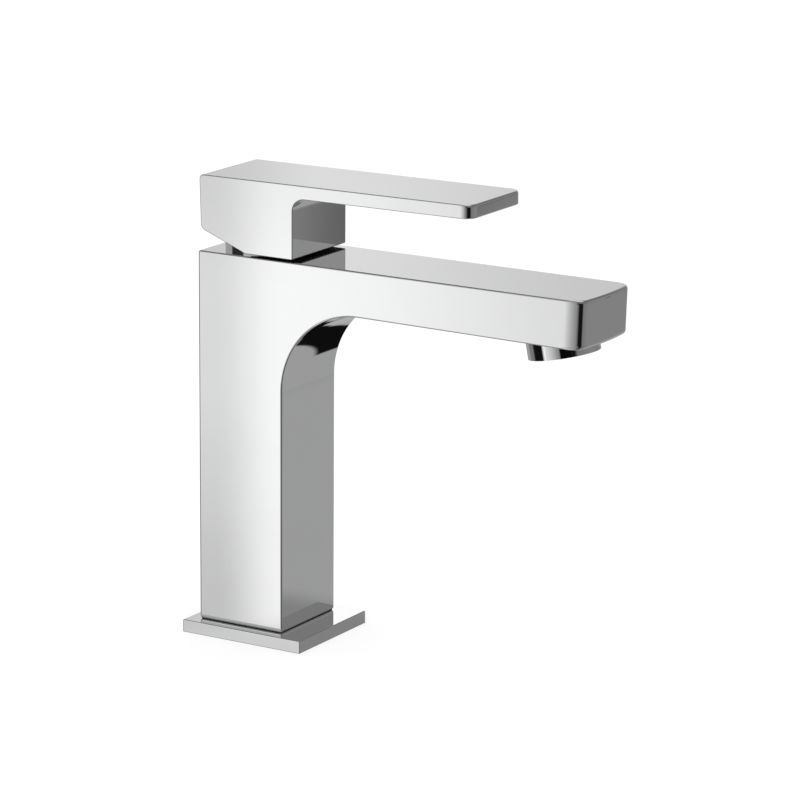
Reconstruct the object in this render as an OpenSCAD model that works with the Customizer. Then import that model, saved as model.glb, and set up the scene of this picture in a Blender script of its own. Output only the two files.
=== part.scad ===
// Single-lever basin mixer: a square column with a flat spout, a blade lever on top
// and a 25 mm ceramic-disc cartridge inside.
// Millimetres. +Z is up and the spout points towards -Y.
// The origin is on the column's axis, on the deck that the base plate stands on.

/* [Column] */
// Width and depth of the square column
column_w = 34; // [33:0.5:42]
// Height of the body's top face above the deck
body_h = 136; // [125:0.5:220]

/* [Spout] */
// Distance from the column's axis to the spout's upper end edge
spout_reach = 134; // [125:0.5:200]
// Thickness of the spout
spout_t = 16.5; // [15:0.5:20]
// Radius of the hollow corner between column and spout
fillet_r = 30; // [28:0.5:40]
// How far the spout's end face leans back at its foot
end_lean = 0.5; // [0.2:0.1:3]
// Radius of the spout's slightly bowed end face, seen from above
end_bow_r = 180; // [100:10:400]
// Radius of the spout's two upright end corners
end_corner_r = 4; // [0.5:0.5:5]
// Radius of the spout's lower end edge
end_round_r = 2.5; // [0.5:0.5:5]

/* [Base plate] */
// Width of the base plate
plate_w = 43; // [42:0.5:60]
// Depth of the base plate
plate_d = 48.5; // [46:0.5:70]
// Thickness of the base plate
plate_t = 4.5; // [3:0.1:8]
// How far the plate's middle lies in front of the column's axis
plate_shift = 3; // [0:0.5:3]
// Thickness of the seal between the plate and the column
joint_t = 0.4; // [0.2:0.1:1]
// How far that seal stands back from the column's faces
joint_inset = 0.5; // [0.2:0.1:2]
// Radius of the body's spigot, which centres the plate
spigot_r = 12.9; // [12.6:0.1:14]
// Width of the gasket ring in the plate's underside
gasket_w = 2.8; // [1.5:0.1:3]
// Height of that gasket ring
gasket_t = 1.6; // [1:0.1:2]
// Distance from the gasket ring to the plate's nearest edges
gasket_edge = 1.6; // [1:0.1:2.5]

/* [Inlets and fixing] */
// Radius of the M10x1 inlet ports at their tapped wall
inlet_r = 4.5; // [4:0.1:4.7]
// Depth of the inlet ports
inlet_depth = 12; // [8:0.5:20]
// Distance of each inlet port from the column's axis, sideways
inlet_x = 6.9; // [6.6:0.1:7.2]
// Distance of the inlet ports in front of the column's axis
inlet_y = 1.7; // [1.5:0.1:2]
// Radius of the M8 stud hole at its tapped wall
stud_r = 3.4; // [2.5:0.1:3.5]
// Depth of the stud hole
stud_depth = 14; // [8:0.5:20]
// Distance of the stud hole behind the column's axis
stud_y = 8.6; // [8:0.1:9]

/* [Waterways] */
// Radius of the two supply channels that rise through the column
feed_r = 2.6; // [2:0.1:3]
// Radius of the channel that rises from the cartridge to the spout
riser_r = 3; // [2:0.1:3.2]
// Width of the flat channel in the spout
channel_w = 16; // [10:0.5:20]
// Height of the flat channel in the spout
channel_h = 6.6; // [4:0.1:7]
// Height of the ring chamber round the cartridge's foot
chamber_h = 8; // [7:0.1:9]
// Radial room of the ring chamber beyond the cartridge
chamber_gap = 0.8; // [0.4:0.1:1.2]

/* [Cartridge] */
// Outside radius of the cartridge's housing
cartridge_r = 12.5; // [12.3:0.1:12.6]
// Depth of the cartridge's seat below the body's top face
seat_depth = 35; // [35:0.5:38]
// Height of the cartridge's base piece
base_h = 5.5; // [5:0.1:6]
// Height of the base piece's wide flange
flange_h = 2.5; // [2:0.1:3]
// Wall thickness of the housing
housing_wall = 1.5; // [1.3:0.1:1.6]
// Thickness of each ceramic disc
disc_t = 3; // [2.4:0.1:3]
// Radius of the moving disc
moving_disc_r = 7.6; // [7.3:0.1:7.8]
// Distance of each inlet hole from the cartridge's axis, sideways
port_x = 5.8; // [5.4:0.1:6]
// Distance of the inlet holes in front of the cartridge's axis
port_y = 3; // [2.8:0.1:3.2]
// Radius of the inlet holes in the discs
port_r = 2; // [1.6:0.1:2.1]
// Radius of the outlet hole in the discs
outlet_r = 2.6; // [2:0.1:2.8]
// Distance of the outlet hole behind the cartridge's axis
outlet_y = 2.6; // [2.2:0.1:2.8]
// Radius of the housing's neck
neck_r = 9.2; // [9:0.1:9.4]
// Depth of the housing's shoulder, under the nut, below the body's top face
shoulder_depth = 8; // [7.5:0.1:9]
// How far the neck stands above the body's top face
neck_rise = 1; // [0.5:0.1:1.5]
// How far the rotating carrier stands above the housing's neck
carrier_rise = 1; // [0.5:0.1:1.5]
// Radius of the carrier's stalk inside the neck
stalk_r = 7.55; // [7.5:0.05:7.6]

/* [Spindle] */
// Depth of the tilting pin below the body's top face
pivot_depth = 12.5; // [12:0.1:13]
// Full lift of the lever, in degrees
lift_max = 21.5; // [15:0.5:21.5]
// Width of the square spindle
spindle_w = 7; // [6:0.1:7.2]
// Length of the spindle above its pin
spindle_l = 33.5; // [30:0.5:34]
// Distance from the pin to the round end that moves the disc
arm_l = 8; // [7.6:0.1:8.1]
// Radius of that round end
tip_r = 2.2; // [1.8:0.1:2.3]
// Thickness of the spindle between the pin and the round end
waist_t = 3.2; // [2.4:0.1:3.4]
// Radius of the tilting pin
pin_r = 1.25; // [1:0.05:1.5]

/* [Nut and collar] */
// Radius of the nut's outer thread
nut_r = 13.45; // [13.2:0.05:13.6]
// Radius of the nut's upper thread, which carries the collar
nut_boss_r = 12.9; // [12.7:0.1:13]
// Width across the flats of the nut's hexagon recess
nut_flats = 20; // [19:0.5:20.5]
// Outside radius of the collar
collar_r = 14.2; // [14.1:0.1:14.5]
// Height of the collar above the body's top face
collar_h = 5; // [4.5:0.1:5.2]
// Radius of the collar's rounded upper edge
collar_round_r = 1.5; // [0.5:0.1:1.5]
// Radius of the opening in the collar's top
collar_eye_r = 10.6; // [10:0.1:11]
// Thickness of the collar's top
collar_top_t = 1.8; // [1.5:0.1:2]

/* [Lever] */
// Width of the lever
lever_w = 34; // [33:0.5:42]
// Distance from the column's axis to the lever's front end
lever_reach = 91; // [60:1:130]
// Distance from the column's axis to the lever's upper back edge
lever_back = 16.4; // [15:0.1:18]
// Thickness of the blade
blade_t = 4.7; // [3:0.1:6]
// Angle at which the blade rises towards its end, in degrees
blade_rise = 0.34; // [0:0.02:4]
// Radius of the blade's two end corners
blade_corner_r = 4; // [0.5:0.5:12]
// Height of the lever's upper back edge above the hub's foot
hub_h = 25.3; // [24:0.1:32]
// Gap between the hub's foot and the body's top face
hub_gap = 1.2; // [1:0.1:2]
// Distance from the column's axis to the hub's front face
hub_front = 21.3; // [20.5:0.1:26]
// How far the hub's back face leans forward down to its bevel
hub_draft = 0.6; // [0:0.1:1.2]
// Angle of the bevel under the back of the hub, in degrees
bevel_angle = 22; // [22:0.5:26]
// Distance from the column's axis forward to the start of that bevel
bevel_front = 0.8; // [0.5:0.1:1.5]
// Radius of the corner between the back face and the bevel
hub_round_r = 2.3; // [0.5:0.1:4]
// Radius of the hollow corner between the hub's front and the blade
blade_fillet_r = 4.5; // [1:0.5:8]
// Depth of the hollow under the hub
hollow_depth = 9.2; // [9:0.1:10]
// Wall between that hollow and the hub's back face
hub_wall = 1.8; // [1.2:0.1:2.2]
// Radius of the index plug in the hub's back
plug_r = 3.5; // [3:0.1:4]
// Depth of the index plug's seat
plug_t = 2.4; // [1.5:0.1:3]
// Radius of the set screw
screw_r = 2.45; // [2:0.05:2.5]
// Length of the set screw
screw_l = 8; // [6:0.5:9]
// Width across the flats of the set screw's key socket
key_flats = 2.5; // [2:0.1:3]

/* [Aerator] */
// Distance from the spout's upper end edge back to the middle of the aerator
aerator_set_back = 17.8; // [17.5:0.1:30]
// Angle at which the stream points forward, in degrees
aerator_tilt = 11.5; // [6:0.5:12]
// Radius of the aerator's visible ring
aerator_r = 12.2; // [12.1:0.1:12.6]
// How far the ring stands out of the spout, on its axis
aerator_drop = 6; // [5:0.1:8]
// Radius of the aerator's thread
aerator_thread_r = 11.95; // [11.5:0.05:12]
// Height of the ring's part inside the spout
aerator_sunk = 1.4; // [1:0.1:2]
// Height of the aerator's thread
aerator_thread_h = 3.2; // [3:0.1:3.4]
// Thickness of the aerator's washer
washer_t = 1.2; // [1:0.1:1.4]
// Radius of the water chamber above the aerator
aerator_chamber_r = 8.8; // [8.6:0.1:9]
// Radius of the insert that breaks up the stream
insert_r = 10.4; // [10:0.1:10.5]
// Radius of each outlet hole in the insert
insert_hole_r = 0.6; // [0.4:0.05:0.65]
// Distance between neighbouring outlet holes
insert_pitch = 2.6; // [2.3:0.1:2.8]

/* [Clearances] */
// Radial play of a turning or tilting fit
running_gap = 0.05; // [0.02:0.01:0.1]
// Play of pieces that are put together and stay there
seat_gap = 0.1; // [0.05:0.01:0.15]
// Play of the spindle in its slots
slot_gap = 0.15; // [0.1:0.01:0.2]

/* [Hidden] */
$fn = 96;
// Extra length of a cut, so that it runs past the face it opens
over = 1;
// How far a rounding cut reaches past the corner it removes
corner_over = 0.3;
// A node of each separate piece

// Body and base
half_w = column_w / 2;
column_foot = plate_t + joint_t;
spout_foot = body_h - spout_t;
channel_z = body_h - spout_t / 2;
seat_z = body_h - seat_depth;
shoulder_z = body_h - shoulder_depth;
pivot_z = body_h - pivot_depth;
aerator_reach = spout_reach - aerator_set_back;
plate_front = plate_d / 2 + plate_shift;
gasket_out_r = min(plate_w / 2, plate_d - plate_front) - gasket_edge;

// Bores for the cartridge and its nut
bore_r = cartridge_r + seat_gap;
chamber_r = cartridge_r + chamber_gap;
nut_bore_r = nut_r + running_gap;
nut_relief = 3;
nut_bore_z = shoulder_z - nut_relief;
peg_r = 1.2;
peg_h = 2.5;
peg_x = 8.2;
peg_y = 7;

// Channel that rises from the ring chamber to the spout
riser_angle = 45;
riser_in = 0.6;
riser_y = bore_r - riser_in;
riser_z = seat_z + chamber_h / 2;
riser_l = (channel_z - riser_z) / sin(riser_angle);
channel_back = riser_y + riser_l * cos(riser_angle) - riser_r;

// Cartridge, from its foot upwards
cavity_r = cartridge_r - housing_wall;
core_r = cavity_r - seat_gap;
housing_z = seat_z + flange_h;
fixed_disc_z = seat_z + base_h;
moving_disc_z = fixed_disc_z + disc_t;
disc_step = 0.5;
moving_disc_t = disc_t - disc_step;
carrier_plate_z = moving_disc_z + moving_disc_t;
carrier_plate_t = 1.2;
carrier_lip_t = 0.2;
block_z = carrier_plate_z + carrier_plate_t + carrier_lip_t;
waist_in = 0.6;
chamber_lip = 0.2;
waist_z = seat_z + chamber_h + chamber_lip;
groove_rise = 2.4;
groove_z = waist_z + groove_rise;
groove_h = 1.3;
groove_depth = 0.95;
groove_r = cartridge_r - groove_depth;
roof_drop = 1.5;
roof_z = pivot_z - roof_drop;
neck_top = body_h + neck_rise;
carrier_top = neck_top + carrier_rise;
disc_plate_rim = 0.8;
disc_plate_r = moving_disc_r + disc_plate_rim;
window_h = 1.8;
lug_w = 3;
lug_in = 1.2;
lug_z = moving_disc_z + disc_t / 2;
mixing_side = 0.4;
mixing_lip = 0.3;
mixing_back = 3;

// Rubber rings: those round the inlets on the seat, and those under the fixed disc
port_seal_w = 1.5;
port_seal_r = feed_r + port_seal_w;
port_seal_t = 1.2;
disc_seal_w = 1.3;
disc_seal_r = port_r + disc_seal_w;
outlet_seal_w = 1;
outlet_seal_r = outlet_r + outlet_seal_w;
seal_t = 0.8;
seal_inset = 0.3;
housing_cord_r = 0.5;
collar_cord_r = 0.42;

// Spindle: it leans forward by half the lift when the water is off
lean = lift_max / 2;
slide = 2 * arm_l * sin(lean);
slide_rest = slide / 2;
spindle_foot = spindle_w / 2;
slot_knee = 3;
pin_inset = 0.3;
block_x = 14;
block_y = 11;
block_drop = 6;
block_top = pivot_z - block_drop;
pocket_room = 0.3;
pocket_top = block_top + pocket_room;
skirt_room = 0.2;
skirt_foot = block_z + skirt_room;

// Nut and collar
nut_sunk = 0.4;
nut_floor = 2;
boss_top = body_h + collar_h - collar_top_t - 2 * seat_gap;
collar_groove_rise = 0.7;
collar_groove_z = body_h + collar_groove_rise;
collar_groove_h = 1;

// Lever
hub_foot = body_h + hub_gap;
lever_top = hub_foot + hub_h;
hollow_room = 1.1;
hollow_r = collar_r + hollow_room;
hollow_shift = 3.4;
hollow_top = hub_foot + hollow_depth;
hollow_back = lever_back - hub_draft - hub_wall;
bevel_z = hub_foot + (lever_back - hub_draft + bevel_front) * tan(bevel_angle);

// Set screw, along its own axis from the spindle's middle, and the plug that hides it
screw_h = 28.5;
dimple = 0.5;
screw_tip = spindle_w / 2 - dimple + seat_gap;
screw_head = screw_tip + screw_l;
key_depth = 3;
plug_wall = 1.2;
hub_back_slope = hub_draft / (lever_top - bevel_z);
screw_rise = screw_h * cos(lean) + pivot_z;
screw_back = screw_h * sin(lean);
plug_y = (lever_back - hub_back_slope * (lever_top - screw_rise - screw_back * tan(lean)))
    / (1 - hub_back_slope * tan(lean));
plug_z = screw_rise + (plug_y + screw_back) * tan(lean);

// Aerator, measured along its own axis from the spout's underside
lip_t = 1.4;
lip_w = 0.9;
aerator_bore_r = aerator_r + seat_gap;
thread_bore_r = aerator_thread_r + seat_gap;
thread_top = aerator_sunk + aerator_thread_h;
washer_top = thread_top + washer_t;
insert_foot = lip_t - aerator_drop;
filter_rim_t = 1.4;
insert_top = thread_top - filter_rim_t;
insert_rings = 3;
aerator_chamber_h = 5;
dome_room = 0.6;
dome_r = aerator_chamber_r - dome_room;
dome_wall = 0.8;
dome_rise = 1.6;
dome_top = washer_top + dome_rise;
filter_hole_r = 1.2;
washer_play = 0.4;
washer_lap = 0.2;

// ---- Shared shapes ----

function unit(v) = v / norm(v);

// The arc of radius r that touches both sides of the corner b on the path a-b-c:
// how far from the corner it touches them, and its centre
function half_turn(a, b, c) = acos(unit(a - b) * unit(c - b)) / 2;
function arc_reach(a, b, c, r) = r / tan(half_turn(a, b, c));
function arc_centre(a, b, c, r) = b + unit(unit(a - b) + unit(c - b)) * r / sin(half_turn(a, b, c));

// Outline points that fill an inner corner up to the arc's centre, ready for the arc to be cut out
function filled_corner(a, b, c, r) = [
    b + unit(a - b) * arc_reach(a, b, c, r),
    arc_centre(a, b, c, r),
    b + unit(c - b) * arc_reach(a, b, c, r)
];

module arc_at(a, b, c, r) {
    translate(arc_centre(a, b, c, r)) circle(r);
}

// What rounding an outer corner takes away
module corner_sliver(a, b, c, r) {
    reach = arc_reach(a, b, c, r);
    centre = arc_centre(a, b, c, r);
    tip = b + unit(b - centre) * corner_over;
    difference() {
        polygon([b + unit(a - b) * reach, tip, b + unit(c - b) * reach, centre]);
        arc_at(a, b, c, r);
    }
}

// A side outline in Y and Z, given a width along X
module across(width) {
    rotate([90, 0, 90]) linear_extrude(width, center = true) children();
}

// A round disc or bore from z0 up to z1
module drum(r, z0, z1) {
    translate([0, 0, z0]) cylinder(r = r, h = z1 - z0);
}

// A flat ring
module ring(r_out, r_in, h) {
    difference() {
        cylinder(r = r_out, h = h);
        translate([0, 0, -over]) cylinder(r = r_in, h = h + 2 * over);
    }
}

// A rubber ring of round section
module o_ring(r_mid, r_cord) {
    rotate_extrude() translate([r_mid, 0]) circle(r_cord, $fn = 32);
}

// A plan outline whose two front corners are rounded
module plan_outline(width, front, back, r) {
    left = [-width / 2, -front];
    right = [width / 2, -front];
    difference() {
        translate(left) square([width, front + back]);
        corner_sliver([-width / 2, back], left, right, r);
        corner_sliver([width / 2, back], right, left, r);
    }
}

// A plan outline whose front end is bowed and whose two front corners are rounded
module bowed_outline(width, front, back, r, bow_r) {
    bow_centre = [0, bow_r - front];
    corner_x = width / 2 - r;
    corner_y = bow_centre[1] - sqrt((bow_r - r) * (bow_r - r) - corner_x * corner_x);
    difference() {
        intersection() {
            translate([-width / 2, -front]) square([width, front + back]);
            translate(bow_centre) circle(bow_r);
        }
        for (way = [-1, 1]) {
            centre = [way * corner_x, corner_y];
            touch = bow_centre + (centre - bow_centre) * bow_r / (bow_r - r);
            tip = [way * (width / 2 + corner_over), -front - corner_over];
            difference() {
                polygon([centre, touch, tip, [way * width / 2, corner_y]]);
                translate(centre) circle(r);
            }
        }
    }
}

// Both inlet places of the cartridge
module at_ports(z) {
    for (side = [-1, 1]) translate([side * port_x, -port_y, z]) children();
}

module at_outlet(z) {
    translate([0, outlet_y, z]) children();
}

module at_pegs(z) {
    for (side = [-1, 1]) translate([side * peg_x, peg_y, z]) children();
}

// The tilting pin's axis, and the spindle's own frame as it leans when the water is off
module at_pivot() {
    translate([0, 0, pivot_z]) children();
}

module at_spindle() {
    at_pivot() rotate([lean, 0, 0]) children();
}

module at_aerator() {
    translate([0, -aerator_reach, spout_foot]) rotate([-aerator_tilt, 0, 0]) children();
}

// ---- Body and base ----

module body_outline() {
    foot = [-half_w, column_foot];
    crook = [-half_w, spout_foot];
    end_foot = [end_lean - spout_reach, spout_foot];
    end_top = [-spout_reach, body_h];
    hollow = filled_corner(end_foot, crook, foot, fillet_r);
    difference() {
        polygon(concat([[half_w, column_foot], [half_w, body_h], end_top, end_foot], hollow, [foot]));
        arc_at(end_foot, crook, foot, fillet_r);
        corner_sliver(crook, end_foot, end_top, end_round_r);
    }
}

module body_blank() {
    intersection() {
        across(column_w) body_outline();
        linear_extrude(body_h) bowed_outline(column_w, spout_reach, half_w, end_corner_r, end_bow_r);
    }
    drum(spigot_r, 0, column_foot + over);
}

module waterways() {
    for (side = [-1, 1]) {
        translate([side * inlet_x, -inlet_y, 0]) drum(inlet_r, -over, inlet_depth);
    }
    at_ports(0) drum(feed_r, inlet_depth - over, seat_z + over);
    translate([0, -riser_y, riser_z]) rotate([90 - riser_angle, 0, 0]) cylinder(r = riser_r, h = riser_l);
    translate([-channel_w / 2, -aerator_reach, channel_z - channel_h / 2])
        cube([channel_w, aerator_reach - channel_back, channel_h]);
}

module cartridge_bores() {
    drum(bore_r, seat_z, body_h + over);
    drum(chamber_r, seat_z, seat_z + chamber_h);
    drum(nut_bore_r, nut_bore_z, body_h + over);
    at_pegs(seat_z) drum(peg_r + seat_gap, -peg_h - seat_gap, over);
}

module aerator_bores() {
    at_aerator() {
        drum(aerator_bore_r, -aerator_r, aerator_sunk + seat_gap);
        drum(thread_bore_r, 0, washer_top);
        drum(aerator_chamber_r, 0, washer_top + aerator_chamber_h);
    }
}

module faucet_body() {
    color("silver") difference() {
        body_blank();
        waterways();
        cartridge_bores();
        aerator_bores();
        translate([0, stud_y, 0]) drum(stud_r, -over, stud_depth);
    }
}

module base_plate() {
    color("gainsboro") difference() {
        translate([-plate_w / 2, -plate_front, 0]) cube([plate_w, plate_d, plate_t]);
        drum(spigot_r + seat_gap, -over, plate_t + over);
        difference() {
            drum(gasket_out_r, -over, gasket_t);
            drum(gasket_out_r - gasket_w, -2 * over, gasket_t + over);
        }
    }
}

module base_gasket() {
    color("dimgray") ring(gasket_out_r, gasket_out_r - gasket_w, gasket_t);
}

module column_seal() {
    seal_w = column_w - 2 * joint_inset;
    color("dimgray") difference() {
        translate([-seal_w / 2, -seal_w / 2, plate_t]) cube([seal_w, seal_w, joint_t]);
        drum(spigot_r + seat_gap, plate_t - over, column_foot + over);
    }
}

// ---- Cartridge ----

module cartridge_base() {
    color("ivory") difference() {
        union() {
            drum(cartridge_r - seat_gap, seat_z, housing_z);
            drum(core_r, seat_z, fixed_disc_z);
            at_pegs(seat_z) drum(peg_r, -peg_h, over);
        }
        at_ports(seat_z) {
            drum(feed_r, -over, base_h + over);
            drum(port_seal_r, -over, port_seal_t);
            drum(disc_seal_r, base_h - seal_t, base_h + over);
        }
        at_outlet(seat_z) {
            drum(outlet_r, flange_h, base_h + over);
            drum(outlet_seal_r, base_h - seal_t, base_h + over);
        }
        translate([-outlet_r, outlet_y, housing_z]) cube([2 * outlet_r, cartridge_r, window_h]);
    }
}

module port_seals() {
    color("black") at_ports(seat_z) ring(port_seal_r, feed_r + seal_inset, port_seal_t);
}

module disc_seals() {
    color("black") {
        at_ports(fixed_disc_z - seal_t) ring(disc_seal_r, port_r + seal_inset, seal_t);
        at_outlet(fixed_disc_z - seal_t) ring(outlet_seal_r, outlet_r + seal_inset, seal_t);
    }
}

module fixed_disc() {
    color("white") difference() {
        drum(core_r, fixed_disc_z, moving_disc_z);
        at_ports(fixed_disc_z) drum(port_r, -over, disc_t + over);
        at_outlet(fixed_disc_z) drum(outlet_r, -over, disc_t + over);
    }
}

module cartridge_housing() {
    color("ivory") difference() {
        union() {
            drum(cartridge_r - waist_in, housing_z, shoulder_z);
            drum(cartridge_r, waist_z, shoulder_z);
            drum(neck_r, shoulder_z - over, neck_top);
        }
        drum(cavity_r, housing_z - over, roof_z);
        drum(stalk_r + running_gap, roof_z - over, neck_top + over);
        translate([0, 0, groove_z]) ring(cartridge_r + over, groove_r, groove_h);
        translate([-outlet_r, 0, housing_z - over]) cube([2 * outlet_r, cartridge_r + over, over + window_h]);
    }
}

module housing_seal() {
    color("black") translate([0, 0, groove_z + groove_h / 2]) o_ring(groove_r + housing_cord_r, housing_cord_r);
}

// The sliding pair is drawn in its place at rest, where the water is off
module at_slider() {
    translate([0, slide_rest, 0]) children();
}

// Two blocks that key the moving disc to its carrier
module lugs(w, inner, z0, z1) {
    for (side = [-1, 1]) {
        translate([side * (inner + disc_plate_r) / 2 - (disc_plate_r - inner) / 2, -w / 2, z0])
            cube([disc_plate_r - inner, w, z1 - z0]);
    }
}

module moving_disc() {
    mixing_w = 2 * (port_x + mixing_side);
    mixing_front = port_y - port_r + slide_rest - mixing_lip;
    color("whitesmoke") at_slider() difference() {
        drum(moving_disc_r, moving_disc_z, carrier_plate_z);
        translate([-mixing_w / 2, -mixing_front, moving_disc_z - over])
            cube([mixing_w, mixing_front + mixing_back, over + moving_disc_t / 2]);
        lugs(lug_w + 2 * seat_gap, moving_disc_r - lug_in - seat_gap, lug_z, carrier_plate_z + over);
    }
}

module disc_carrier() {
    slot_x = spindle_w + 2 * slot_gap;
    slot_y = 2 * (tip_r + slot_gap);
    color("steelblue") at_slider() difference() {
        union() {
            drum(disc_plate_r, carrier_plate_z, block_z);
            intersection() {
                lugs(lug_w, moving_disc_r - lug_in, lug_z + seat_gap, block_z);
                drum(disc_plate_r, moving_disc_z, block_z);
            }
            translate([-block_x / 2, -block_y / 2, carrier_plate_z])
                cube([block_x, block_y, block_top - carrier_plate_z]);
        }
        translate([-slot_x / 2, -slot_y / 2, carrier_plate_z + carrier_plate_t])
            cube([slot_x, slot_y, block_top]);
    }
}

// Half width that the leaning spindle needs at a height above its pin
function swing(h) = h * tan(lean) + spindle_w / 2 / cos(lean) + slot_gap;

module spindle_slot_outline() {
    top = carrier_top - pivot_z + over;
    foot = spindle_foot + over;
    side = swing(slot_knee);
    polygon([
        [-side, -foot], [side, -foot], [side, slot_knee],
        [swing(top), top], [-swing(top), top], [-side, slot_knee]
    ]);
}

module stem_carrier() {
    pocket_x = block_x + 2 * running_gap;
    pocket_y = block_y + slide + 4 * slot_gap;
    web_y = 2 * (arm_l * tan(lean) + waist_t / 2 + slot_gap);
    slot_x = spindle_w + 2 * slot_gap;
    color("cadetblue") difference() {
        union() {
            drum(cavity_r - running_gap, skirt_foot, roof_z - seat_gap);
            drum(stalk_r, roof_z - over, carrier_top);
        }
        translate([-pocket_x / 2, -pocket_y / 2, skirt_foot - over])
            cube([pocket_x, pocket_y, pocket_top - skirt_foot + over]);
        translate([-slot_x / 2, -web_y / 2, skirt_foot]) cube([slot_x, web_y, pivot_z - skirt_foot]);
        at_pivot() across(slot_x) spindle_slot_outline();
        at_pivot() rotate([0, 90, 0]) cylinder(r = pin_r, h = 2 * stalk_r, center = true);
    }
}

module pivot_pin() {
    color("slategray") at_pivot() rotate([0, 90, 0])
        cylinder(r = pin_r, h = 2 * (stalk_r - pin_inset), center = true);
}

module lever_stem() {
    color("goldenrod") at_spindle() difference() {
        union() {
            translate([-spindle_w / 2, -spindle_w / 2, -spindle_foot])
                cube([spindle_w, spindle_w, spindle_foot + spindle_l]);
            translate([-spindle_w / 2, -waist_t / 2, -arm_l]) cube([spindle_w, waist_t, arm_l]);
            translate([0, 0, -arm_l]) rotate([0, 90, 0])
                cylinder(r = tip_r, h = spindle_w, center = true);
        }
        rotate([0, 90, 0]) cylinder(r = pin_r + running_gap, h = spindle_w + 2 * over, center = true);
        translate([0, spindle_w / 2 - dimple, screw_h]) rotate([-90, 0, 0])
            cylinder(r = screw_r + 2 * seat_gap, h = over);
    }
}

// ---- Nut and collar ----

module retaining_nut() {
    color("darkkhaki") difference() {
        union() {
            drum(nut_r, shoulder_z, body_h - nut_sunk);
            drum(nut_boss_r, shoulder_z, boss_top);
        }
        drum(neck_r + 2 * seat_gap, shoulder_z - over, boss_top + over);
        translate([0, 0, shoulder_z + nut_floor])
            cylinder(r = nut_flats / 2 / cos(30), h = seat_depth, $fn = 6);
        translate([0, 0, collar_groove_z])
            ring(nut_boss_r + over, nut_boss_r - 2 * collar_cord_r, collar_groove_h);
    }
}

module collar_seal() {
    color("black") translate([0, 0, collar_groove_z + collar_groove_h / 2])
        o_ring(nut_boss_r - collar_cord_r, collar_cord_r);
}

module collar() {
    top = body_h + collar_h;
    color("silver") difference() {
        rotate_extrude() difference() {
            translate([0, body_h]) square([collar_r, collar_h]);
            corner_sliver([0, top], [collar_r, top], [collar_r, body_h], collar_round_r);
        }
        drum(nut_boss_r + running_gap, body_h - over, top - collar_top_t);
        drum(collar_eye_r, body_h, top + over);
    }
}

// ---- Lever ----

// Heights of the blade's two faces at a distance y in front of or behind the column's axis
function blade_top(y) = lever_top + (lever_back - y) * tan(blade_rise);
function blade_foot(y) = blade_top(y) - blade_t / cos(blade_rise);

module lever_outline() {
    back_top = [lever_back, lever_top];
    back_foot = [lever_back - hub_draft, bevel_z];
    bevel_foot = [-bevel_front, hub_foot];
    front_foot = [-hub_front, hub_foot];
    crook = [-hub_front, blade_foot(-hub_front)];
    end_foot = [-lever_reach, blade_foot(-lever_reach)];
    end_top = [-lever_reach, blade_top(-lever_reach)];
    hollow = filled_corner(front_foot, crook, end_foot, blade_fillet_r);
    difference() {
        polygon(concat([back_top, back_foot, bevel_foot, front_foot], hollow, [end_foot, end_top]));
        arc_at(front_foot, crook, end_foot, blade_fillet_r);
        corner_sliver(back_top, back_foot, bevel_foot, hub_round_r);
    }
}

// Room under the hub for the collar, longer towards the front where the hub swings over it
module hub_hollow() {
    height = hollow_top - hub_foot + over;
    translate([0, 0, hub_foot - over]) linear_extrude(height) difference() {
        union() {
            circle(hollow_r);
            translate([0, -hollow_shift]) circle(hollow_r);
            translate([-hollow_r, -hollow_shift]) square([2 * hollow_r, hollow_shift]);
        }
        translate([-hollow_r, hollow_back]) square(2 * hollow_r);
    }
}

// The set screw's axis, square to the spindle's back face
module at_screw() {
    at_spindle() translate([0, 0, screw_h]) rotate([-90, 0, 0]) children();
}

// Where that axis meets the hub's back face, in the face's own frame
module at_plug() {
    translate([0, plug_y, plug_z]) rotate([-90 - atan(hub_back_slope), 0, 0]) children();
}

module lever_handle() {
    socket_w = spindle_w + 2 * seat_gap;
    color("silver") difference() {
        intersection() {
            across(lever_w) lever_outline();
            linear_extrude(2 * lever_top) plan_outline(lever_w, lever_reach, lever_back, blade_corner_r);
        }
        hub_hollow();
        at_spindle() translate([-socket_w / 2, -socket_w / 2, 0])
            cube([socket_w, socket_w, spindle_l + seat_gap]);
        at_screw() drum(screw_r + running_gap, 0, plug_y + screw_back);
        at_plug() drum(plug_r + running_gap, -plug_t - seat_gap, over);
    }
}

module set_screw() {
    color("dimgray") at_screw() difference() {
        drum(screw_r, screw_tip, screw_head);
        translate([0, 0, screw_head - key_depth])
            cylinder(r = key_flats / 2 / cos(30), h = key_depth + over, $fn = 6);
    }
}

module index_plug() {
    color("firebrick") at_plug() difference() {
        drum(plug_r, -plug_t, 0);
        drum(plug_r - plug_wall, -plug_t - over, -plug_t / 2);
    }
}

// ---- Aerator ----

module aerator_housing() {
    color("silver") at_aerator() difference() {
        union() {
            drum(aerator_r, -aerator_drop, aerator_sunk);
            drum(aerator_thread_r, 0, thread_top);
        }
        drum(insert_r + seat_gap, insert_foot, thread_top + over);
        drum(insert_r - lip_w, -aerator_drop - over, thread_top);
    }
}

// Outlet holes on a hexagonal grid of rings round the middle
module insert_holes() {
    for (i = [-insert_rings:insert_rings], j = [-insert_rings:insert_rings]) {
        if (abs(i + j) <= insert_rings) {
            translate([insert_pitch * (i + j / 2), insert_pitch * j * sin(60), 0])
                drum(insert_hole_r, insert_foot - over, insert_top + over, $fn = 16);
        }
    }
}

module aerator_insert() {
    color("gray") at_aerator() difference() {
        drum(insert_r, insert_foot, insert_top);
        insert_holes();
    }
}

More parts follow.
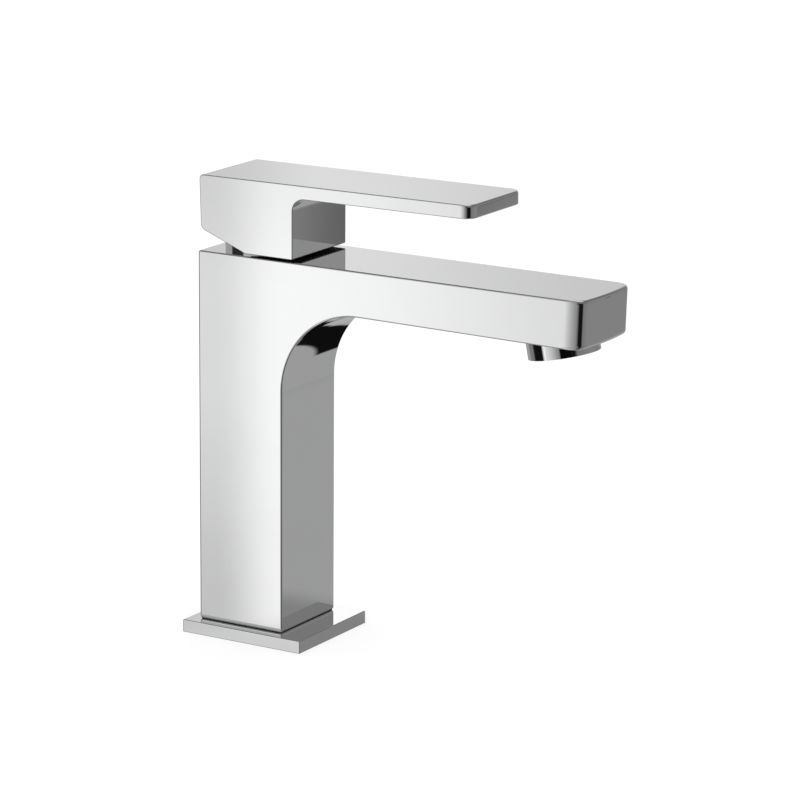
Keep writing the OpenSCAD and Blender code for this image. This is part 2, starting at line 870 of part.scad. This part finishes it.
module aerator_filter() {
    color("lightgray") at_aerator() difference() {
        union() {
            drum(insert_r, insert_top, thread_top);
            drum(dome_r, insert_top, dome_top);
        }
        drum(dome_r - dome_wall, insert_top - over, dome_top - dome_wall);
        for (turn = [0:45:315]) {
            rotate([0, 0, turn]) translate([dome_r - 3 * filter_hole_r, 0, 0])
                drum(filter_hole_r, washer_top, dome_top + over);
        }
    }
}

module aerator_washer() {
    color("black") at_aerator() translate([0, 0, thread_top])
        ring(aerator_thread_r - washer_play, aerator_chamber_r + washer_lap, washer_t);
}

faucet_body();
base_plate();
base_gasket();
column_seal();
cartridge_base();
port_seals();
disc_seals();
fixed_disc();
cartridge_housing();
housing_seal();
moving_disc();
disc_carrier();
stem_carrier();
pivot_pin();
lever_stem();
retaining_nut();
collar();
collar_seal();
lever_handle();
set_screw();
index_plug();
aerator_housing();
aerator_insert();
aerator_filter();
aerator_washer();
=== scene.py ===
import math

import bmesh
import bpy
from mathutils import Matrix, Vector


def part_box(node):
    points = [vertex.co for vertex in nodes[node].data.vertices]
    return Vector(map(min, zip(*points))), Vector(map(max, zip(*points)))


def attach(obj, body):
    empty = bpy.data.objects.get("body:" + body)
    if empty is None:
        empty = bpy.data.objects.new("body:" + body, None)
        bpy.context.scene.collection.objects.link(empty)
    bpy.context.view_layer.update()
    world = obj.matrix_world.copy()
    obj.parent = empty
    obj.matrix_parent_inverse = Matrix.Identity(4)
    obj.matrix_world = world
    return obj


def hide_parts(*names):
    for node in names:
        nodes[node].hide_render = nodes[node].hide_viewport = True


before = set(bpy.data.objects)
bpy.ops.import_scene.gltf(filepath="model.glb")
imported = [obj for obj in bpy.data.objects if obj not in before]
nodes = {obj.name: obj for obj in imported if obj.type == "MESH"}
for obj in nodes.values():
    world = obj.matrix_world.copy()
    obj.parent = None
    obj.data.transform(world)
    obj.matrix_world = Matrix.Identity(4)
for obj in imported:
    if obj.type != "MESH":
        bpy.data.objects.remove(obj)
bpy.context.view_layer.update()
MM = 0.001

# Sizes repeated from the CAD source, in millimetres.
COLUMN = 17.0  # half the width of column, spout and lever
COLUMN_FOOT = 4.75
BODY_TOP = 136.0
SPOUT_FOOT = 119.5
SPOUT_END = -134.0
END_LEAN = 0.5
AERATOR_Y = -116.2
AERATOR_TILT = math.radians(11.5)
HUB_FOOT = 136.9  # 0.3 lower than in the CAD, as the photograph shows it
HUB_FRONT = -21.3
BEVEL_FOOT = -2.2
BEVEL_ANGLE = math.radians(20.9)
LEVER_TOP = 162.5
LEVER_BACK = 16.4
LEVER_END = -91.0
DRAFT = 0.6
RISE = math.tan(math.radians(0.34))
BLADE = 4.7
SOFT = 1.74  # how late the long sides' soft run into the spout's end steepens

# The camera: angles in degrees, places in millimetres.
CAMERA_AZIMUTH, CAMERA_ELEVATION, CAMERA_ROLL = -58.740, 14.046, 0.403
CAMERA_AIM = Vector((0, 0, 80))
CAMERA_BACK, CAMERA_RIGHT, CAMERA_UP = 1392.563, 46.10, 1.82
CAMERA_LENS = 180.668


# ---- Camera, at the photograph's angle ----

def make_camera():
    azimuth, elevation = math.radians(CAMERA_AZIMUTH), math.radians(CAMERA_ELEVATION)
    roll = math.radians(CAMERA_ROLL)
    level = math.cos(elevation)
    back = Vector((math.sin(azimuth) * level, -math.cos(azimuth) * level, math.sin(elevation)))
    right = (-back).cross(Vector((0, 0, 1))).normalized()
    up = right.cross(-back)
    right, up = right * math.cos(roll) + up * math.sin(roll), up * math.cos(roll) - right * math.sin(roll)
    place = CAMERA_AIM + back * CAMERA_BACK + right * CAMERA_RIGHT + up * CAMERA_UP
    data = bpy.data.cameras.new("camera")
    data.lens = CAMERA_LENS
    data.sensor_width = 36
    data.clip_start = 0.1
    data.clip_end = 20
    camera = bpy.data.objects.new("camera", data)
    turn = Matrix((right, up, back)).transposed().to_4x4()
    camera.matrix_world = Matrix.Translation(place * MM) @ turn
    bpy.context.scene.collection.objects.link(camera)
    bpy.context.scene.camera = camera


# ---- Shader helpers ----

class Tree:
    """A few short calls for building a node tree."""

    def __init__(self, holder):
        holder.use_nodes = True
        self.nodes = holder.node_tree.nodes
        self.links = holder.node_tree.links
        self.nodes.clear()

    def add(self, kind, values=None, **settings):
        node = self.nodes.new(kind)
        for name, value in settings.items():
            setattr(node, name, value)
        for name, value in (values or {}).items():
            if isinstance(value, bpy.types.NodeSocket):
                self.links.new(value, node.inputs[name])
            else:
                node.inputs[name].default_value = value
        return node

    def math(self, operation, a, b=0.0):
        return self.add("ShaderNodeMath", {0: a, 1: b}, operation=operation).outputs[0]

    def remap(self, value, low, high, to_low=0.0, to_high=1.0, smooth=True):
        kind = "SMOOTHSTEP" if smooth else "LINEAR"
        values = {"Value": value, "From Min": low, "From Max": high, "To Min": to_low, "To Max": to_high}
        return self.add("ShaderNodeMapRange", values, interpolation_type=kind).outputs["Result"]

    def blend(self, factor, a, b):
        """The number a where the factor is 0, b where it is 1."""
        return self.add("ShaderNodeMix", {0: factor, 2: a, 3: b}, data_type="FLOAT").outputs[0]

    def ramp(self, value, stops, kind="EASE"):
        node = self.add("ShaderNodeValToRGB", {"Fac": value})
        node.color_ramp.interpolation = kind
        elements = node.color_ramp.elements
        while len(elements) < len(stops):
            elements.new(0.5)
        for element, (place, colour) in zip(elements, stops):
            element.position = place
            element.color = (*colour, 1.0) if isinstance(colour, tuple) else (colour, colour, colour, 1.0)
        return node.outputs["Color"]

    def window(self, value, low, high, soft):
        """1 between low and high, fading to 0 over the soft distance outside them."""
        rising = self.remap(value, low - soft, low)
        return self.math("MULTIPLY", rising, self.remap(value, high, high + soft, 1.0, 0.0))

    def near(self, value, middle, reach):
        """1 within reach of the middle, 0 elsewhere."""
        return self.add("ShaderNodeMath", {0: value, 1: middle, 2: reach}, operation="COMPARE").outputs[0]

    def noise(self, scale, detail=3.0, rough=0.55, stretch=(1, 1, 1)):
        place = self.add("ShaderNodeTexCoord").outputs["Object"]
        place = self.add("ShaderNodeMapping", {"Vector": place, "Scale": stretch}).outputs["Vector"]
        values = {"Vector": place, "Scale": scale, "Detail": detail, "Roughness": rough}
        return self.add("ShaderNodeTexNoise", values).outputs["Fac"]


def material(name, colour, metallic, rough, **more):
    """A procedural material: uneven roughness, a fine bump and slight changes of tone.

    tone is how far the colour varies and wear how far the roughness does; bump and grain are the
    fine bump's strength and scale."""
    tone, wear = more.get("tone", 0.05), more.get("wear", 0.1)
    bump, grain = more.get("bump", 0.1), more.get("grain", 600)
    made = bpy.data.materials.new(name)
    tree = Tree(made)
    broad = tree.noise(60, 4.0)
    fine = tree.noise(grain, 2.0, stretch=more.get("stretch", (1, 1, 1)))
    dark = tuple(c * (1 - tone) for c in colour)
    light = tuple(min(1.0, c * (1 + tone)) for c in colour)
    colour_out = tree.ramp(broad, [(0.3, dark), (0.7, light)])
    rough_out = tree.remap(broad, 0.3, 0.7, max(0.0, rough - wear / 2), rough + wear / 2)
    height = tree.add("ShaderNodeBump", {"Height": fine, "Strength": bump, "Distance": 0.0001})
    values = {
        "Base Color": colour_out, "Roughness": rough_out, "Normal": height.outputs["Normal"],
        "Metallic": metallic, "IOR": 1.5,
    }
    shader = tree.add("ShaderNodeBsdfPrincipled", values)
    out = tree.add("ShaderNodeOutputMaterial")
    tree.links.new(shader.outputs["BSDF"], out.inputs["Surface"])
    return made


def chrome():
    """Polished chrome: near-mirror, with faint polishing haze and a hardly visible waviness."""
    made = bpy.data.materials.new("chrome")
    tree = Tree(made)
    haze = tree.noise(38, 5.0, 0.6)
    wipe = tree.noise(90, 3.0, 0.5, stretch=(1.0, 0.25, 1.0))
    wave = tree.noise(22, 1.0, 0.4)
    tone = tree.ramp(haze, [(0.3, (0.922, 0.925, 0.93)), (0.7, (0.935, 0.938, 0.942))])
    streaks = tree.remap(wipe, 0.5, 0.75, 0.0, 0.015)
    rough = tree.math("ADD", tree.remap(haze, 0.35, 0.7, 0.015, 0.03), streaks)
    height = tree.add("ShaderNodeBump", {"Height": wave, "Strength": 0.02, "Distance": 0.0002})
    values = {"Base Color": tone, "Roughness": rough, "Normal": height.outputs["Normal"], "Metallic": 1.0}
    shader = tree.add("ShaderNodeBsdfPrincipled", values)
    out = tree.add("ShaderNodeOutputMaterial")
    tree.links.new(shader.outputs["BSDF"], out.inputs["Surface"])
    return made


# ---- Meshes built from sections ----

def arc_corner(before, corner, after, radius):
    """Centre and the two end angles of the arc that rounds a corner, and which way it bulges."""
    u, v = (before - corner).normalized(), (after - corner).normalized()
    half = math.acos(max(-1.0, min(1.0, u.dot(v)))) / 2
    centre = corner + (u + v).normalized() * (radius / math.sin(half))
    first = corner + u * (radius / math.tan(half)) - centre
    last = corner + v * (radius / math.tan(half)) - centre
    a, b = math.atan2(first.y, first.x), math.atan2(last.y, last.x)
    turn = (b - a + math.pi) % (2 * math.pi) - math.pi
    return centre, a, turn


def outline(corners, inset):
    """Points of a closed outline (y, z) whose corners are rounded, moved inwards by inset.

    Each corner is (y, z, radius, steps, hollow, moves): hollow corners grow as the outline shrinks,
    and moves is the share of the end's recession that the corner follows."""
    points = []
    count = len(corners)
    for i, (y, z, radius, steps, hollow, moves) in enumerate(corners):
        before, after = Vector(corners[i - 1][:2]), Vector(corners[(i + 1) % count][:2])
        centre, start, turn = arc_corner(before, Vector((y, z)), after, radius)
        r = radius + inset if hollow else radius - inset
        for k in range(steps + 1):
            angle = start + turn * k / steps
            points.append((centre.x + r * math.cos(angle), centre.y + r * math.sin(angle), moves))
    return points


def sweep_across(name, corners, half_width, edge_r, end):
    """A body whose side outline is rounded along both sides and at its end's upright corners.

    end: radius of those corners, length and depth of the soft run into them, the slope of the end's path,
    and the radius of the bow across the end, 0 for none."""
    corner_r, run, drop, slope, bow_r = end
    lead = math.atan(SOFT * drop / run)
    soft = [drop * (k / 8) ** SOFT for k in range(9)]
    turns = [math.radians(a) for a in (8, 16, *range(24, 91, 6))]
    angles = [lead] + [a for a in turns if a > lead]
    hard = [(drop + corner_r * (math.cos(lead) - math.cos(a)), corner_r * (1 - math.sin(a))) for a in angles]
    edge = [edge_r * (1 - math.cos(math.radians(a))) for a in (30, 45, 60, 75, 90)]
    across = [half_width * k / 9 for k in range(3, 10)] if bow_r else []
    depths = sorted(set(round(d, 5) for d in soft + [d for d, _ in hard] + edge + across))

    def recession(depth):
        middle = half_width - depth
        bow = bow_r - math.sqrt(bow_r ** 2 - middle ** 2) if bow_r else 0.0
        if depth < drop:
            return bow + hard[0][1] + run * (1 - (depth / drop) ** (1 / SOFT))
        turn = math.acos(max(0.0, min(1.0, math.cos(lead) - (depth - drop) / corner_r)))
        return bow + corner_r * (1 - math.sin(turn))

    def section(depth, side):
        left = max(0.0, edge_r - depth)
        inset = edge_r - math.sqrt(max(0.0, edge_r ** 2 - left ** 2))
        back = recession(depth)
        points = []
        for y, z, moves in outline(corners, inset):
            shift = moves * max(0.0, back - inset)
            points.append(Vector((side * (half_width - depth), y + shift, z + shift * slope)) * MM)
        return points

    sections = [section(d, -1) for d in depths] + [section(d, 1) for d in reversed(depths) if d < half_width]
    return from_sections(name, sections)


def from_sections(name, sections):
    """A mesh through equal rings of points, with its two ends filled."""
    count = len(sections[0])
    points = [p for ring in sections for p in ring]
    faces = []
    for s in range(len(sections) - 1):
        for k in range(count):
            a, b = s * count + k, s * count + (k + 1) % count
            faces.append((a, b, b + count, a + count))
    faces.append(tuple(reversed(range(count))))
    faces.append(tuple(range((len(sections) - 1) * count, len(sections) * count)))
    return new_object(name, points, faces)


def new_object(name, points, faces):
    mesh = bpy.data.meshes.new(name)
    mesh.from_pydata([tuple(p) for p in points], [], faces)
    mesh.validate()
    made = bpy.data.objects.new(name, mesh)
    bpy.context.scene.collection.objects.link(made)
    turn_outwards(made)
    return made


def turn_outwards(made):
    work = bmesh.new()
    work.from_mesh(made.data)
    bmesh.ops.remove_doubles(work, verts=work.verts, dist=1e-7)
    bmesh.ops.recalc_face_normals(work, faces=work.faces)
    work.to_mesh(made.data)
    work.free()


def rod(name, radius, start, end, steps=96):
    """A plain cylinder from start to end, in millimetres, for cutting."""
    start, end = Vector(start), Vector(end)
    axis = (end - start).normalized()
    side = axis.orthogonal().normalized()
    up = axis.cross(side)
    rings = []
    for centre in (start, end):
        ring = []
        for k in range(steps):
            angle = 2 * math.pi * k / steps
            ring.append((centre + (side * math.cos(angle) + up * math.sin(angle)) * radius) * MM)
        rings.append(ring)
    return from_sections(name, rings)


def combine(target, tool, operation):
    """Cuts tool out of target, or adds it, and keeps the result as a plain mesh."""
    change = target.modifiers.new("change", "BOOLEAN")
    change.operation = operation
    change.solver = "EXACT"
    change.object = tool
    bpy.context.view_layer.update()
    graph = bpy.context.evaluated_depsgraph_get()
    result = bpy.data.meshes.new_from_object(target.evaluated_get(graph))
    target.modifiers.clear()
    target.data = result
    bpy.data.objects.remove(tool)


def finish_piece(made, body, slot, look, *stands_for):
    """Smooth shading that keeps flat faces flat, then material, body and what it stands for."""
    made.data.materials.clear()
    made.data.materials.append(look)
    for face in made.data.polygons:
        face.use_smooth = True
    made.data.set_sharp_from_angle(angle=math.radians(42))
    weighted = made.modifiers.new("even_shading", "WEIGHTED_NORMAL")
    weighted.keep_sharp = True
    weighted.mode = "FACE_AREA"
    weighted.weight = 50
    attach(made, body)
    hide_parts(*stands_for)


# ---- The replaced pieces ----

def body_piece(look):
    corners = [
        (COLUMN, COLUMN_FOOT, 0.8, 5, False, 0),
        (COLUMN, BODY_TOP, 0.8, 5, False, 0),
        (SPOUT_END, BODY_TOP, 1.2, 6, False, 1),
        (SPOUT_END + END_LEAN, SPOUT_FOOT - 0.1, 1.6, 12, False, 1),
        (-COLUMN, SPOUT_FOOT + 0.9, 30.0, 64, True, 0),
        (-COLUMN, COLUMN_FOOT, 0.8, 5, False, 0),
    ]
    made = sweep_across("body_shell", corners, COLUMN, 0.6, (3.7, 3.64, 0.81, 0.0, 120.0))
    combine(made, rod("spigot", 12.9, (0, 0, 0), (0, 0, 8)), "UNION")
    for side in (-1, 1):
        combine(made, rod("port", 4.5, (side * 6.9, -1.7, -1), (side * 6.9, -1.7, 12), 64), "DIFFERENCE")
    combine(made, rod("stud", 3.4, (0, 8.6, -1), (0, 8.6, 14), 64), "DIFFERENCE")
    foot = Vector((0, AERATOR_Y, SPOUT_FOOT))
    axis = Vector((0, math.sin(AERATOR_TILT), math.cos(AERATOR_TILT)))
    combine(made, rod("mouth", 12.3, foot - axis * 9, foot + axis * 1.5), "DIFFERENCE")
    combine(made, rod("throat", 12.05, foot - axis * 9, foot + axis * 9), "DIFFERENCE")
    finish_piece(made, "fixed", "chrome_plate", look, "faucet_body")


def lever_piece(look, shade_inside_look):
    def top(y):
        return LEVER_TOP + (LEVER_BACK - y) * RISE

    bevel_z = HUB_FOOT + (LEVER_BACK - DRAFT - BEVEL_FOOT) * math.tan(BEVEL_ANGLE)
    corners = [
        (LEVER_BACK, LEVER_TOP, 1.6, 6, False, 0),
        (LEVER_BACK - DRAFT, bevel_z, 2.3, 8, False, 0),
        (BEVEL_FOOT, HUB_FOOT, 0.8, 4, False, 0),
        (HUB_FRONT, HUB_FOOT, 0.5, 4, False, 0),
        (HUB_FRONT, top(HUB_FRONT) - BLADE, 4.5, 16, True, 0),
        (LEVER_END, top(LEVER_END) - BLADE, 0.5, 4, False, 1),
        (LEVER_END, top(LEVER_END), 1.0, 6, False, 1),
    ]
    made = sweep_across("lever_shell", corners, COLUMN, 0.32, (4.0, 0.1, 0.0004, -RISE, 0.0))
    combine(made, hub_room(), "DIFFERENCE")
    low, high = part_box("index_plug")
    hub = Vector(low + high) / 2 / MM
    lean = math.atan(DRAFT / (LEVER_TOP - bevel_z))
    out = Vector((0, math.cos(lean), -math.sin(lean)))
    combine(made, rod("plug_seat", 3.55, hub - out * 1.3, hub + out * 6, 64), "DIFFERENCE")
    finish_piece(made, "lever", "chrome_plate", look, "lever_handle")
    # The hub's underside and the hollow under it take a near-black matt material. This is painted shade, so
    # the chrome around them mirrors black there.
    made.data.materials.append(shade_inside_look)
    for face in made.data.polygons:
        x, y, z = face.center / MM
        under = z < HUB_FOOT + 0.3 and face.normal.z < -0.5 and y < -2.0
        inside = abs(x) < 15.6 and -19.6 < y < 14.05 and HUB_FOOT + 0.3 < z < HUB_FOOT + 9.3
        if under or inside:
            face.material_index = 1


def hub_room():
    """The hollow under the hub, with a flat back wall."""
    radius, shift, back = 15.3, 3.4, 14.0
    reach = math.asin(back / radius)
    plan = []
    for k in range(13):
        angle = reach * (1 - k / 12)
        plan.append((radius * math.cos(angle), radius * math.sin(angle)))
    for k in range(49):
        angle = -math.pi * k / 48
        plan.append((radius * math.cos(angle), radius * math.sin(angle) - shift))
    for k in range(13):
        angle = reach * k / 12
        plan.append((-radius * math.cos(angle), radius * math.sin(angle)))
    rings = [[Vector((x, y, z)) * MM for x, y in plan] for z in (HUB_FOOT - 3, HUB_FOOT + 9.2)]
    return from_sections("hub_room", rings)


def plate_piece(look):
    low, high = (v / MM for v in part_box("base_plate"))
    depth, middle = high.y - low.y, (high.y + low.y) / 2
    corners = [
        (middle + depth / 2, low.z, 0.3, 3, False, 0),
        (middle + depth / 2, high.z, 0.5, 5, False, 0),
        (middle - depth / 2, high.z, 0.5, 5, False, 0),
        (middle - depth / 2, low.z, 0.3, 3, False, 0),
    ]
    made = sweep_across("plate_shell", corners, high.x, 0.3, (0.3, 0.1, 0.0001, 0.0, 0.0))
    combine(made, rod("plate_eye", 13.0, (0, 0, -2), (0, 0, 8)), "DIFFERENCE")
    seat = rod("gasket_seat", 19.65, (0, 0, -2), (0, 0, 1.6), 128)
    combine(seat, rod("gasket_core", 16.85, (0, 0, -3), (0, 0, 3), 128), "DIFFERENCE")
    combine(made, seat, "DIFFERENCE")
    finish_piece(made, "fixed", "chrome_plate", look, "base_plate")


# ---- Surroundings ----

def glow(level):
    """How bright the surroundings are where polished chrome shows this level, from 0 to 1, on screen."""
    return ((level + 0.055) / 1.055) ** 2.4 / 0.93


def levels(pairs, first=0.0, last=360.0):
    """Ramp stops from pairs of an angle and the level that chrome shows there."""
    return [((angle - first) / (last - first), glow(level)) for angle, level in pairs]


def make_world():
    """Soft studio light by direction for reflections, white for the camera, plain light for matt surfaces.

    Azimuths run from +X towards +Y and heights from the horizon, both in degrees. The lights and flags
    stand where this scene's camera sees them mirrored, so other sides of the tap mirror darker parts."""
    world = bpy.data.worlds.new("studio")
    bpy.context.scene.world = world
    tree = Tree(world)
    way = tree.add("ShaderNodeTexCoord").outputs["Generated"]
    parts = tree.add("ShaderNodeSeparateXYZ", {"Vector": way})
    x, y, z = (parts.outputs[k] for k in range(3))
    turn = tree.math("MULTIPLY", tree.math("ARCTAN2", y, x), 180 / math.pi)
    azimuth = tree.math("FLOORED_MODULO", turn, 360.0)
    height = tree.math("MULTIPLY", tree.math("ARCSINE", z), 180 / math.pi)
    round_way = tree.math("DIVIDE", azimuth, 360.0)

    # All round, just below the horizon: white panels, grey gaps and two black flags.
    around = tree.ramp(round_way, levels([
        (0, 0.6), (24, 0.6), (34, 0.45), (46, 0.6), (86, 0.6), (99, 0.4), (106, 0.06), (139, 0.06),
        (144, 0.85), (152, 0.85), (170, 0.75), (190, 0.55), (203, 0.45), (213, 0.2), (217, 0.07),
        (243, 0.07), (252, 0.45), (300, 0.5), (350, 0.5)]), "LINEAR")
    # The big panel has a bright edge, and falls off towards the floor.
    hot = tree.ramp(tree.remap(azimuth, 146, 152, smooth=False), levels([
        (146, 0.85), (147, 0.97), (152, 0.85)], 146, 152))
    side = tree.blend(tree.near(azimuth, 149, 3), around, hot)
    left = tree.remap(azimuth, 146, 147, 0.25, 0.05)
    sunk = tree.math("MULTIPLY", tree.remap(height, -17.5, -13.5, 1.0, 0.0), left)
    raised = tree.remap(height, -12.5, -11, 0.0, 0.08)
    dim = tree.math("SUBTRACT", 1.0, tree.math("ADD", sunk, raised))
    panel = tree.blend(tree.window(azimuth, 144, 153, 3), side, tree.math("MULTIPLY", side, dim))
    foot = tree.remap(height, -17.5, -17.1, 1.0, 0.0)
    skirt = tree.math("MULTIPLY", tree.window(azimuth, 144, 150, 3), foot)
    panel = tree.blend(skirt, panel, glow(0.8))
    # A black flag at the left front, from just below the horizon upwards.
    flag = tree.math("MULTIPLY", tree.window(azimuth, 199, 226, 5), tree.remap(height, -9.5, -5.5))
    panel = tree.blend(flag, panel, 0.003)
    # In front the light falls off towards the horizon, with one dark strip.
    front = tree.math("MULTIPLY", tree.window(azimuth, 318, 340, 14), tree.remap(height, -13.5, -12))
    far = tree.ramp(tree.remap(azimuth, 327, 331, smooth=False), levels([
        (327, 0.48), (328, 0.38), (331, 0.48)], 327, 331))
    lit = tree.blend(front, panel, far)
    # A dark end behind, beyond the floor.
    dark_end = tree.math("MULTIPLY", tree.window(azimuth, 18, 30, 8), tree.remap(height, -13, -12))
    lit = tree.blend(dark_end, lit, glow(0.12))

    # Above the horizon, a dark ceiling beyond it and a soft box overhead.
    tops = tree.ramp(round_way, levels([
        (0, 0.5), (28, 0.77), (34, 0.78), (44, 0.6), (142, 0.6), (150, 0.7), (170, 0.65), (200, 0.5),
        (215, 0.4), (270, 0.4), (327, 0.55), (345, 0.5)]), "LINEAR")
    ahead = tree.ramp(tree.remap(azimuth, 28, 34, smooth=False), levels([
        (28, 0.77), (32.5, 0.85), (34, 0.78)], 28, 34))
    tops = tree.blend(tree.near(azimuth, 31, 3), tops, ahead)
    shut = tree.math("MULTIPLY", tree.window(azimuth, 102, 142, 5), tree.remap(height, 13, 18, 1.0, 0.0))
    tops = tree.blend(shut, tops, glow(0.16))
    strip = tree.math("MULTIPLY", tree.window(azimuth, 31, 33, 1.4), tree.window(height, 16, 24, 2.5))
    tops = tree.math("ADD", tops, tree.math("MULTIPLY", strip, 0.3))
    low_front = tree.math("MULTIPLY", tree.window(azimuth, 300, 345, 15), tree.remap(height, 12.5, 16.5))
    tops = tree.math("SUBTRACT", tops, tree.math("MULTIPLY", low_front, 0.08))
    tops = tree.blend(tree.remap(height, 24, 31), tops, 0.16)
    tops = tree.blend(tree.remap(height, 60, 68), tops, 0.8)

    # Below, the pale floor: bright beside the tap, darker in front of it.
    floor = tree.ramp(round_way, levels([
        (0, 0.55), (26, 0.6), (40, 0.35), (60, 0.3), (112, 0.3), (146, 0.75), (160, 0.75), (190, 0.55),
        (218, 0.4), (226, 0.1), (243, 0.1), (250, 0.35), (270, 0.45), (350, 0.5)]), "LINEAR")
    low = tree.blend(tree.remap(height, -24.0, -18.5), floor, lit)
    seen = tree.blend(tree.remap(height, 4.5, 9.5), low, tops)

    ray = tree.add("ShaderNodeLightPath")
    plain = tree.blend(ray.outputs["Is Glossy Ray"], 0.9, seen)
    shown = tree.blend(ray.outputs["Is Camera Ray"], plain, 1.0)
    light = tree.add("ShaderNodeBackground", {"Color": (1, 1, 1, 1), "Strength": shown})
    out = tree.add("ShaderNodeOutputWorld")
    tree.links.new(light.outputs["Background"], out.inputs["Surface"])


def make_floor():
    """A white floor that keeps the object's shadow; reflections see the world's floor instead."""
    reach = 1.5
    turns = ((-1, -1), (1, -1), (1, 1), (-1, 1))
    corners = [Vector((x * reach, y * reach, 0)) for x, y in turns]
    made = new_object("floor", corners, [(0, 1, 2, 3)])
    look = bpy.data.materials.new("floor")
    tree = Tree(look)
    grain = tree.noise(40, 4.0)
    tone = tree.ramp(grain, [(0.3, 0.29), (0.7, 0.31)])
    matt = tree.add("ShaderNodeBsdfDiffuse", {"Color": tone})
    glow_back = tree.add("ShaderNodeEmission", {"Color": (1, 1, 1, 1), "Strength": 0.78})
    ray = tree.add("ShaderNodeLightPath")
    seen = tree.add("ShaderNodeMixShader", {0: ray.outputs["Is Camera Ray"]})
    both = tree.add("ShaderNodeAddShader", {0: matt.outputs[0], 1: glow_back.outputs[0]})
    pale = tree.add("ShaderNodeBsdfDiffuse", {"Color": (0.85, 0.85, 0.85, 1)})
    tree.links.new(pale.outputs[0], seen.inputs[1])
    tree.links.new(both.outputs[0], seen.inputs[2])
    out = tree.add("ShaderNodeOutputMaterial")
    tree.links.new(seen.outputs[0], out.inputs["Surface"])
    made.data.materials.append(look)
    made.visible_glossy = False


def make_board():
    """A grey board on the floor in front, seen only in reflections, with one black bar across it."""
    corners = [Vector((x, y, 0.0005)) for x, y in ((0.02, -0.28), (0.46, -0.28), (0.46, 0.2), (0.02, 0.2))]
    made = new_object("board", corners, [(0, 1, 2, 3)])
    look = bpy.data.materials.new("board")
    tree = Tree(look)
    place = tree.add("ShaderNodeTexCoord").outputs["Object"]
    parts = tree.add("ShaderNodeSeparateXYZ", {"Vector": place})
    x, y = (tree.math("MULTIPLY", parts.outputs[k], 1000.0) for k in (0, 1))
    bend = tree.math("MULTIPLY", tree.math("ABSOLUTE", tree.math("ADD", y, 15.0)), 0.5)
    start = tree.math("ADD", bend, 135.0)
    widen = tree.math("MULTIPLY", tree.math("MAXIMUM", tree.math("SUBTRACT", y, 20.0), 0.0), 0.5)
    stop = tree.math("ADD", tree.math("ADD", widen, 175.0), tree.remap(y, -20, -5, 40.0, 0.0))
    after = tree.remap(tree.math("SUBTRACT", x, start), -2.5, 2.5)
    before = tree.remap(tree.math("SUBTRACT", stop, x), -2.5, 2.5)
    bar = tree.math("MULTIPLY", tree.math("MULTIPLY", after, before), tree.window(y, -70, 90, 6))
    lighter = tree.math("MULTIPLY", tree.remap(x, 165, 190), tree.remap(y, -30, 0))
    tone = tree.blend(lighter, glow(0.6), glow(0.67))
    tone = tree.blend(tree.remap(y, 40, 75), tone, glow(0.5))
    tone = tree.blend(bar, tone, glow(0.05))
    edge = tree.math("MULTIPLY", tree.window(x, 45, 340, 25), tree.window(y, -200, 130, 60))
    light = tree.add("ShaderNodeEmission", {"Color": (1, 1, 1, 1), "Strength": tone})
    clear = tree.add("ShaderNodeBsdfTransparent")
    mix = tree.add("ShaderNodeMixShader", {0: edge, 1: clear.outputs[0], 2: light.outputs[0]})
    out = tree.add("ShaderNodeOutputMaterial")
    tree.links.new(mix.outputs[0], out.inputs["Surface"])
    made.data.materials.append(look)
    made.visible_camera = False
    made.visible_diffuse = False
    made.visible_shadow = False
    made.visible_transmission = False


# ---- The whole ----

def dress_cad_nodes(looks):
    for name, look in looks.items():
        made = nodes[name]
        for place in made.material_slots:
            place.material = look


bpy.context.scene.view_settings.view_transform = "Standard"
make_camera()
make_world()
make_floor()
make_board()

polished = chrome()
# Near-black matt material for the hub's underside and hollow: painted shade under the hub.
underside_shade = material("painted_shade_inside", (0.045, 0.045, 0.047), 0.0, 0.7, bump=0.5, grain=400, tone=0.2)
rubber = material("rubber", (0.03, 0.03, 0.032), 0.0, 0.55, bump=0.3, grain=900)
brass = material("brass", (0.72, 0.56, 0.3), 1.0, 0.28, bump=0.3, grain=500)
steel = material("steel", (0.62, 0.62, 0.63), 1.0, 0.3, bump=0.3, grain=700, stretch=(1, 1, 0.1))
ivory = material("ivory_plastic", (0.8, 0.78, 0.71), 0.0, 0.45)
blue_grey = material("carrier_plastic", (0.2, 0.33, 0.42), 0.0, 0.42)
ceramic = material("ceramic", (0.9, 0.89, 0.86), 0.0, 0.15, tone=0.02)
grey = material("aerator_plastic", (0.34, 0.35, 0.36), 0.0, 0.4)
plug_grey = material("plug_plastic", (0.45, 0.46, 0.48), 0.0, 0.25)

dress_cad_nodes({
    "base_gasket": rubber, "column_seal": rubber, "port_seals": rubber, "disc_seals": rubber,
    "housing_seal": rubber, "collar_seal": rubber, "aerator_washer": rubber,
    "cartridge_base": ivory, "cartridge_housing": ivory, "stem_carrier": blue_grey, "disc_carrier": blue_grey,
    "fixed_disc": ceramic, "moving_disc": ceramic, "retaining_nut": brass,
    "lever_stem": steel, "pivot_pin": steel, "set_screw": steel,
    "aerator_insert": grey, "aerator_filter": grey, "index_plug": plug_grey,
    "collar": polished, "aerator_housing": polished,
})
body_piece(polished)
lever_piece(polished, underside_shade)
plate_piece(polished)
